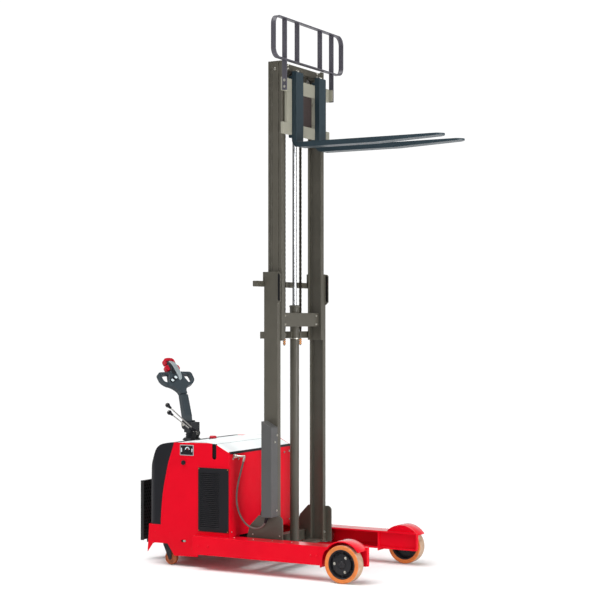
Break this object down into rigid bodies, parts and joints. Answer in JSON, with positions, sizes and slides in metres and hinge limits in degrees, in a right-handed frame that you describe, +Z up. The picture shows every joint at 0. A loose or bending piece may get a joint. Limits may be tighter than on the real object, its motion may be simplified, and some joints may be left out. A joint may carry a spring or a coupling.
{
  "type": "walkie reach stacker",
  "caption": "Pedestrian reach stacker with straddle legs, a two-stage mast raised to full height, forks, load backrest, steering tiller and fold-up rider platform.",
  "frame": {"origin": "on the floor below the centre of the machine's box", "axes": "+X towards the fork tips, +Y to the machine's left, +Z up"},
  "size_m": [2.4075, 1.034, 3.777],
  "materials": {
    "red_paint": "satin red powder coat",
    "mast_paint": "satin olive-brown paint",
    "carriage_paint": "satin khaki paint",
    "cover_grey": "satin blue-grey paint",
    "fork_paint": "dark slate paint",
    "backrest_paint": "dark grey paint",
    "black_plastic": "fine-grained black moulding",
    "hood_plastic": "pale grey moulding",
    "tiller_plastic": "slate-grey moulding",
    "red_plastic": "glossy red moulding",
    "pale_plastic": "pale key",
    "black_steel": "black paint",
    "polyurethane": "orange polyurethane",
    "rim_black": "black casting",
    "steel": "machined steel",
    "chrome": "hard-chromed rod",
    "zinc": "zinc-plated fitting",
    "chain_steel": "oiled chain",
    "hose_rubber": "hydraulic hose cover",
    "battery_case": "cell cases in a tray",
    "alloy": "cast alloy"
  },
  "bodies": {
    "chassis": {"chassis_frame": "red_paint", "side_panel_right": "red_paint", "side_panel_left": "red_paint", "leg_right": "red_paint", "leg_left": "red_paint", "rear_cover": "black_plastic", "control_deck": "hood_plastic", "side_grilles": "black_plastic", "battery": "battery_case", "hydraulic_unit": "black_steel", "motor_controller": "alloy", "reach_cylinder": "black_steel", "lever_bracket": "black_steel", "platform_bracket": "black_steel", "hose_elbow": "zinc", "reach_hose": "hose_rubber"},
    "battery_lid": {"battery_lid": "hood_plastic"},
    "emergency_stop": {"emergency_stop": "red_plastic"},
    "key_switch": {"key_switch": "black_plastic"},
    "steer_unit": {"drive_gearbox": "rim_black", "drive_motor": "black_steel", "tiller_column": "black_steel"},
    "drive_wheel": {"drive_wheel": "polyurethane"},
    "tiller": {"tiller_arm": "tiller_plastic", "tiller_head": "tiller_plastic"},
    "throttle": {"throttle": "red_plastic"},
    "belly_switch": {"belly_switch": "red_plastic"},
    "lift_rocker": {"lift_rocker": "pale_plastic"},
    "reach_lever": {"reach_lever": "steel"},
    "side_lever": {"side_lever": "steel"},
    "rider_platform": {"platform_tray": "black_steel"},
    "caster_fork_right": {"caster_fork_right": "black_steel"},
    "caster_wheel_right": {"caster_wheel_right": "polyurethane"},
    "caster_fork_left": {"caster_fork_left": "black_steel"},
    "caster_wheel_left": {"caster_wheel_left": "polyurethane"},
    "load_wheel_right": {"load_tyre_right": "polyurethane", "load_rim_right": "rim_black"},
    "load_wheel_left": {"load_tyre_left": "polyurethane", "load_rim_left": "rim_black"},
    "mast_frame": {"outer_upright_right": "mast_paint", "outer_upright_left": "mast_paint", "outer_crossmembers": "mast_paint", "lift_cylinder": "mast_paint", "mast_cover": "cover_grey", "reach_rod": "chrome", "chain_anchor_strands": "chain_steel"},
    "reach_rollers_rear": {"reach_rollers_rear": "steel"},
    "reach_rollers_front": {"reach_rollers_front": "steel"},
    "inner_mast": {"inner_upright_right": "mast_paint", "inner_upright_left": "mast_paint", "inner_crossmembers": "mast_paint", "piston_rod": "chrome"},
    "chain_pulleys": {"chain_pulleys": "steel"},
    "inner_rollers": {"inner_rollers": "steel"},
    "carriage": {"carriage_frame": "carriage_paint", "load_backrest": "backrest_paint", "chain_carriage_strands": "chain_steel"},
    "carriage_rollers": {"carriage_rollers": "steel"},
    "fork_right": {"fork_right": "fork_paint"},
    "fork_left": {"fork_left": "fork_paint"}
  },
  "joints": [
    {"name": "lid_open", "type": "hinge", "parent": "chassis", "child": "battery_lid", "pos_m": [-0.6452, 0, 0.863], "axis": [0, -1, 0], "range_deg": [0, 75]},
    {"name": "emergency_stop_press", "type": "slide", "parent": "chassis", "child": "emergency_stop", "axis": [0, 0, 1], "range_m": [-0.003, 0]},
    {"name": "key_turn", "type": "hinge", "parent": "chassis", "child": "key_switch", "pos_m": [-0.6642, -0.43, 0.724], "axis": [0, -1, 0], "range_deg": [0, 90]},
    {"name": "steer", "type": "hinge", "parent": "chassis", "child": "steer_unit", "pos_m": [-0.8792, 0, 0.3], "axis": [0, 0, 1], "range_deg": [-68, 112]},
    {"name": "drive_wheel_spin", "type": "hinge", "parent": "steer_unit", "child": "drive_wheel", "pos_m": [-0.8792, 0, 0.105], "axis": [0.3746, 0.9272, 0], "continuous": true},
    {"name": "tiller_tilt", "type": "hinge", "parent": "steer_unit", "child": "tiller", "pos_m": [-0.9237, 0.01798, 0.957], "axis": [0.3746, 0.9272, 0], "range_deg": [-60, 0], "stiffness_Nm_per_rad": 9, "springref_deg": 34.38},
    {"name": "throttle_turn", "type": "hinge", "parent": "tiller", "child": "throttle", "pos_m": [-1.1243, 0.09903, 1.35545], "axis": [0.3746, 0.9272, 0], "range_deg": [-25, 25], "stiffness_Nm_per_rad": 1},
    {"name": "belly_press", "type": "slide", "parent": "tiller", "child": "belly_switch", "axis": [0.5945, -0.2402, -0.7674], "range_m": [0, 0.005], "stiffness_N_per_m": 600},
    {"name": "rocker_tilt", "type": "hinge", "parent": "tiller", "child": "lift_rocker", "pos_m": [-1.06572, 0.03869, 1.27899], "axis": [-0.7025, -0.3115, 0.6399], "range_deg": [-7, 7], "stiffness_Nm_per_rad": 0.6},
    {"name": "reach_lever_tilt", "type": "hinge", "parent": "chassis", "child": "reach_lever", "pos_m": [-0.7512, -0.118, 0.906], "axis": [0, 1, 0], "range_deg": [-8, 8], "stiffness_Nm_per_rad": 30, "springref_deg": 1.26},
    {"name": "side_lever_tilt", "type": "hinge", "parent": "chassis", "child": "side_lever", "pos_m": [-0.7512, -0.146, 0.906], "axis": [0, 1, 0], "range_deg": [-8, 8], "stiffness_Nm_per_rad": 30, "springref_deg": 1.15},
    {"name": "platform_fold", "type": "hinge", "parent": "chassis", "child": "rider_platform", "pos_m": [-1.0522, 0, 0.13], "axis": [0, -1, 0], "range_deg": [0, 90], "stiffness_Nm_per_rad": 22, "springref_deg": -57.3},
    {"name": "caster_swivel_right", "type": "hinge", "parent": "chassis", "child": "caster_fork_right", "pos_m": [-0.8212, -0.385, 0.15], "axis": [0, 0, 1], "continuous": true},
    {"name": "caster_spin_right", "type": "hinge", "parent": "caster_fork_right", "child": "caster_wheel_right", "pos_m": [-0.7932, -0.385, 0.05], "axis": [0, 1, 0], "continuous": true},
    {"name": "caster_swivel_left", "type": "hinge", "parent": "chassis", "child": "caster_fork_left", "pos_m": [-0.8212, 0.385, 0.15], "axis": [0, 0, 1], "continuous": true},
    {"name": "caster_spin_left", "type": "hinge", "parent": "caster_fork_left", "child": "caster_wheel_left", "pos_m": [-0.7932, 0.385, 0.05], "axis": [0, 1, 0], "continuous": true},
    {"name": "load_wheel_spin_right", "type": "hinge", "parent": "chassis", "child": "load_wheel_right", "pos_m": [0.6208, -0.477, 0.125], "axis": [0, 1, 0], "continuous": true},
    {"name": "load_wheel_spin_left", "type": "hinge", "parent": "chassis", "child": "load_wheel_left", "pos_m": [0.6208, 0.477, 0.125], "axis": [0, 1, 0], "continuous": true},
    {"name": "mast_reach", "type": "slide", "parent": "chassis", "child": "mast_frame", "axis": [1, 0, 0], "range_m": [-0.07, 0.34]},
    {"name": "reach_roller_rear_spin", "type": "hinge", "parent": "mast_frame", "child": "reach_rollers_rear", "pos_m": [-0.1412, 0, 0.1675], "axis": [0, 1, 0], "continuous": true},
    {"name": "reach_roller_front_spin", "type": "hinge", "parent": "mast_frame", "child": "reach_rollers_front", "pos_m": [0.0238, 0, 0.1675], "axis": [0, 1, 0], "continuous": true},
    {"name": "mast_lift", "type": "slide", "parent": "mast_frame", "child": "inner_mast", "axis": [0, 0, 1], "range_m": [-1.43, 0.02], "deforming": ["chain_anchor_strands"]},
    {"name": "chain_pulley_spin", "type": "hinge", "parent": "inner_mast", "child": "chain_pulleys", "pos_m": [0.0038, 0, 3.385], "axis": [0, 1, 0], "continuous": true},
    {"name": "inner_roller_spin", "type": "hinge", "parent": "inner_mast", "child": "inner_rollers", "pos_m": [-0.0107, 0, 1.636], "axis": [0, 1, 0], "continuous": true},
    {"name": "carriage_lift", "type": "slide", "parent": "inner_mast", "child": "carriage", "axis": [0, 0, 1], "range_m": [-1.43, 0.02], "deforming": ["chain_carriage_strands"]},
    {"name": "carriage_roller_spin", "type": "hinge", "parent": "carriage", "child": "carriage_rollers", "pos_m": [-0.0027, 0, 3.105], "axis": [0, 1, 0], "continuous": true},
    {"name": "fork_right_shift", "type": "slide", "parent": "carriage", "child": "fork_right", "axis": [0, 1, 0], "range_m": [-0.1, 0.08]},
    {"name": "fork_left_shift", "type": "slide", "parent": "carriage", "child": "fork_left", "axis": [0, 1, 0], "range_m": [-0.08, 0.1]}
  ],
  "couplings": [
    {"joint": "reach_roller_rear_spin", "follows": "mast_reach", "rad_per_m": 20},
    {"joint": "reach_roller_front_spin", "follows": "mast_reach", "rad_per_m": 20},
    {"joint": "carriage_lift", "follows": "mast_lift", "ratio": 1},
    {"joint": "chain_pulley_spin", "follows": "mast_lift", "rad_per_m": 25},
    {"joint": "inner_roller_spin", "follows": "mast_lift", "rad_per_m": -23.256},
    {"joint": "carriage_roller_spin", "follows": "mast_lift", "rad_per_m": -23.256}
  ]
}
